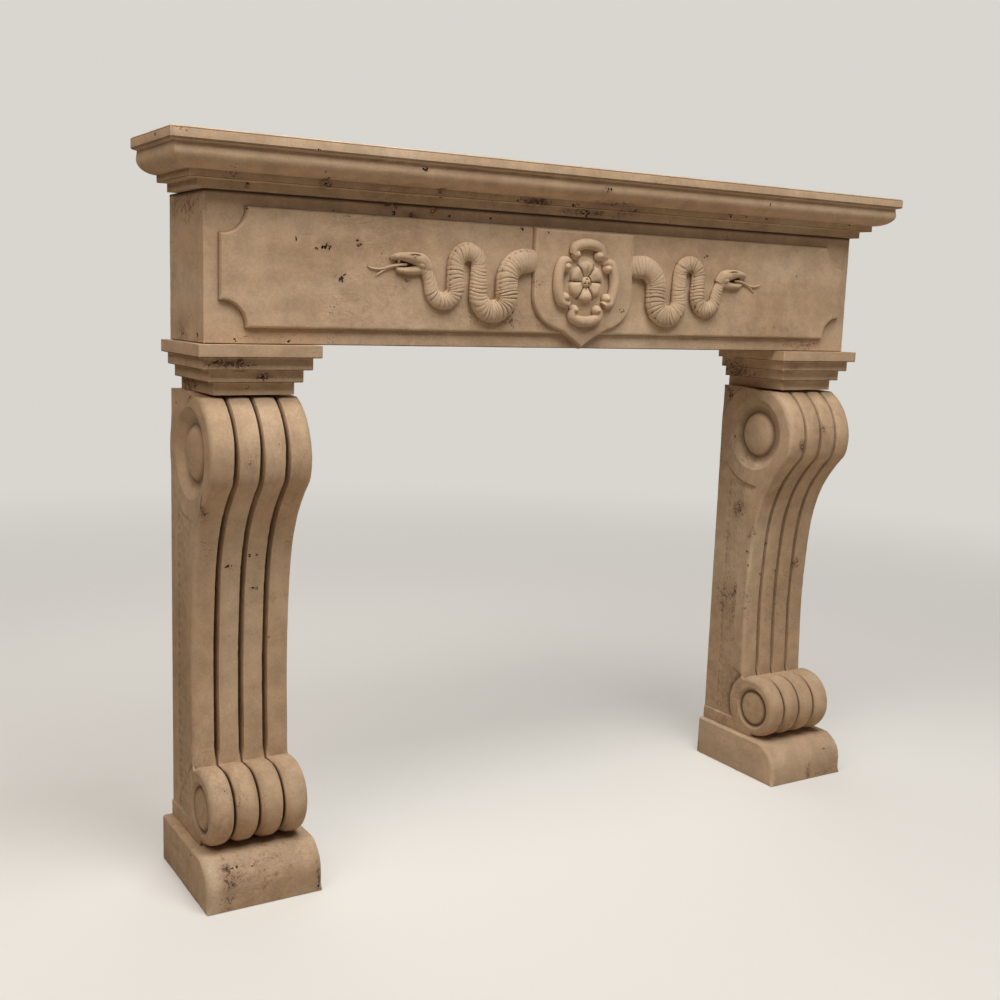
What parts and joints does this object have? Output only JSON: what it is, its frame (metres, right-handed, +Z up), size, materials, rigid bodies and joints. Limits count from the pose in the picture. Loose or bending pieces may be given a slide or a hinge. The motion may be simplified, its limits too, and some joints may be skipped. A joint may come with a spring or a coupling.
{
  "type": "fireplace mantel",
  "caption": "Carved travertine fireplace mantel with reeded scroll legs on plinths, stepped capitals, a panelled frieze with serpents and a rose, and a moulded shelf.",
  "frame": {"origin": "on the floor, under the middle of the mantel's box", "axes": "+X along the shelf to the viewer's right, +Y towards the wall behind, +Z up; the carved front faces -Y"},
  "size_m": [1.8, 0.29, 1.45],
  "materials": {
    "travertine": "honed tan travertine with fine open pits, darker veins and softly worn arrises"
  },
  "bodies": {
    "root": {"plinth_left": "travertine", "leg_left": "travertine", "capital_left": "travertine", "plinth_right": "travertine", "leg_right": "travertine", "capital_right": "travertine", "frieze": "travertine", "shelf": "travertine"}
  },
  "joints": []
}
